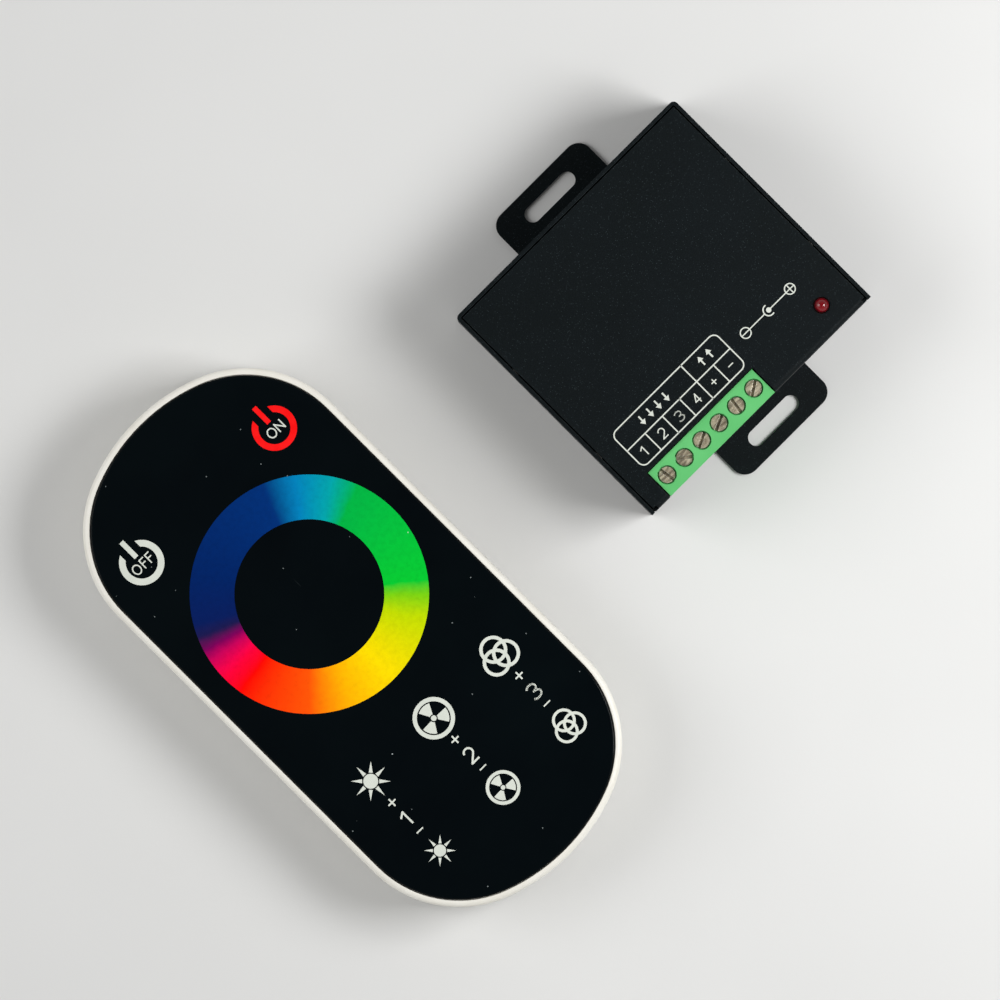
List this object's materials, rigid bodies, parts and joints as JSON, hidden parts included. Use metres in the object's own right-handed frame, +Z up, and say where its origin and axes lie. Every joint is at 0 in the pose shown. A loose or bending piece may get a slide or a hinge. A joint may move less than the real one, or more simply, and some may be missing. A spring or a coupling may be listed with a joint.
{
  "type": "led strip controller",
  "caption": "Sheet-metal receiver box with a screw terminal block, power jack, indicator lamp and slotted mounting ears, with a hand-held touch remote with a colour ring.",
  "frame": {"origin": "middle of the box around the remote and the receiver, on the plane that both lie on", "axes": "+X from the remote towards the receiver, along both widths; +Y away from the wire entries; +Z up, out of both fronts"},
  "size_m": [0.1576, 0.1276, 0.0267],
  "materials": {
    "black_paint": "matte powder coat",
    "terminal_green": "satin moulded",
    "black_plastic": "satin moulded",
    "board_green": "solder mask",
    "screw_steel": "nickel plated",
    "contact_tin": "tin plated",
    "standoff_brass": "turned",
    "heat_metal": "brushed",
    "can_metal": "sleeved can",
    "antenna_copper": "lacquered wire",
    "lamp_red": "translucent",
    "ivory_plastic": "polished moulding",
    "panel_black": "mirror gloss, printed from behind",
    "cell_jacket": "plain sleeve"
  },
  "bodies": {
    "receiver": {"base_tray": "black_paint", "top_cover": "black_paint", "cover_screws": "screw_steel", "board_standoffs": "standoff_brass", "main_board": "board_green", "board_screws": "screw_steel", "terminal_housing": "terminal_green", "terminal_contacts": "contact_tin", "jack_housing": "black_plastic", "jack_pin_contact": "contact_tin", "jack_sleeve_contact": "contact_tin", "lamp_lens": "lamp_red", "lamp_leads": "contact_tin", "transistor_bodies": "black_plastic", "transistor_tabs": "heat_metal", "transistor_leads": "contact_tin", "transistor_screws": "screw_steel", "heat_spreader": "heat_metal", "capacitors": "can_metal", "control_chip": "black_plastic", "voltage_regulator": "black_plastic", "crystal_can": "contact_tin", "radio_board": "board_green", "radio_pin_strip": "black_plastic", "radio_pins": "contact_tin", "radio_chip": "black_plastic", "radio_can": "contact_tin", "antenna_wire": "antenna_copper"},
    "terminal_screw_1": {"terminal_screw_1": "screw_steel"},
    "terminal_screw_2": {"terminal_screw_2": "screw_steel"},
    "terminal_screw_3": {"terminal_screw_3": "screw_steel"},
    "terminal_screw_4": {"terminal_screw_4": "screw_steel"},
    "terminal_screw_5": {"terminal_screw_5": "screw_steel"},
    "terminal_screw_6": {"terminal_screw_6": "screw_steel"},
    "terminal_clamp_1": {"terminal_clamp_1": "contact_tin"},
    "terminal_clamp_2": {"terminal_clamp_2": "contact_tin"},
    "terminal_clamp_3": {"terminal_clamp_3": "contact_tin"},
    "terminal_clamp_4": {"terminal_clamp_4": "contact_tin"},
    "terminal_clamp_5": {"terminal_clamp_5": "contact_tin"},
    "terminal_clamp_6": {"terminal_clamp_6": "contact_tin"},
    "remote": {"front_frame": "ivory_plastic", "touch_panel": "panel_black", "touch_board": "board_green", "touch_chip": "black_plastic", "sender_chip": "black_plastic", "remote_crystal": "contact_tin", "rear_shell": "ivory_plastic", "battery_1": "cell_jacket", "battery_2": "cell_jacket", "battery_3": "cell_jacket", "battery_springs": "contact_tin", "battery_plates": "contact_tin", "shell_screws": "screw_steel"},
    "battery_door": {"battery_door": "ivory_plastic"}
  },
  "joints": [
    {"name": "terminal_screw_1_turn", "type": "hinge", "parent": "receiver", "child": "terminal_screw_1", "pos_m": [0.02275, -0.02227, 0.0225], "axis": [0, 0, 1], "range_deg": [0, 1800]},
    {"name": "terminal_clamp_1_travel", "type": "slide", "parent": "receiver", "child": "terminal_clamp_1", "axis": [0, 0, -1], "range_m": [0, 0.00225]},
    {"name": "terminal_screw_2_turn", "type": "hinge", "parent": "receiver", "child": "terminal_screw_2", "pos_m": [0.02782, -0.02227, 0.0225], "axis": [0, 0, 1], "range_deg": [0, 1800]},
    {"name": "terminal_clamp_2_travel", "type": "slide", "parent": "receiver", "child": "terminal_clamp_2", "axis": [0, 0, -1], "range_m": [0, 0.00225]},
    {"name": "terminal_screw_3_turn", "type": "hinge", "parent": "receiver", "child": "terminal_screw_3", "pos_m": [0.0329, -0.02227, 0.0225], "axis": [0, 0, 1], "range_deg": [0, 1800]},
    {"name": "terminal_clamp_3_travel", "type": "slide", "parent": "receiver", "child": "terminal_clamp_3", "axis": [0, 0, -1], "range_m": [0, 0.00225]},
    {"name": "terminal_screw_4_turn", "type": "hinge", "parent": "receiver", "child": "terminal_screw_4", "pos_m": [0.03798, -0.02227, 0.0225], "axis": [0, 0, 1], "range_deg": [0, 1800]},
    {"name": "terminal_clamp_4_travel", "type": "slide", "parent": "receiver", "child": "terminal_clamp_4", "axis": [0, 0, -1], "range_m": [0, 0.00225]},
    {"name": "terminal_screw_5_turn", "type": "hinge", "parent": "receiver", "child": "terminal_screw_5", "pos_m": [0.04306, -0.02227, 0.0225], "axis": [0, 0, 1], "range_deg": [0, 1800]},
    {"name": "terminal_clamp_5_travel", "type": "slide", "parent": "receiver", "child": "terminal_clamp_5", "axis": [0, 0, -1], "range_m": [0, 0.00225]},
    {"name": "terminal_screw_6_turn", "type": "hinge", "parent": "receiver", "child": "terminal_screw_6", "pos_m": [0.04815, -0.02227, 0.0225], "axis": [0, 0, 1], "range_deg": [0, 1800]},
    {"name": "terminal_clamp_6_travel", "type": "slide", "parent": "receiver", "child": "terminal_clamp_6", "axis": [0, 0, -1], "range_m": [0, 0.00225]},
    {"name": "remote_lift", "type": "slide", "parent": "receiver", "child": "remote", "axis": [0, 0, 1], "range_m": [0, 0.06]},
    {"name": "battery_door_slide", "type": "slide", "parent": "remote", "child": "battery_door", "axis": [0, -1, 0], "range_m": [0, 0.062]}
  ],
  "couplings": [
    {"joint": "terminal_screw_1_turn", "follows": "terminal_clamp_1_travel", "rad_per_m": 13963},
    {"joint": "terminal_screw_2_turn", "follows": "terminal_clamp_2_travel", "rad_per_m": 13963},
    {"joint": "terminal_screw_3_turn", "follows": "terminal_clamp_3_travel", "rad_per_m": 13963},
    {"joint": "terminal_screw_4_turn", "follows": "terminal_clamp_4_travel", "rad_per_m": 13963},
    {"joint": "terminal_screw_5_turn", "follows": "terminal_clamp_5_travel", "rad_per_m": 13963},
    {"joint": "terminal_screw_6_turn", "follows": "terminal_clamp_6_travel", "rad_per_m": 13963}
  ]
}
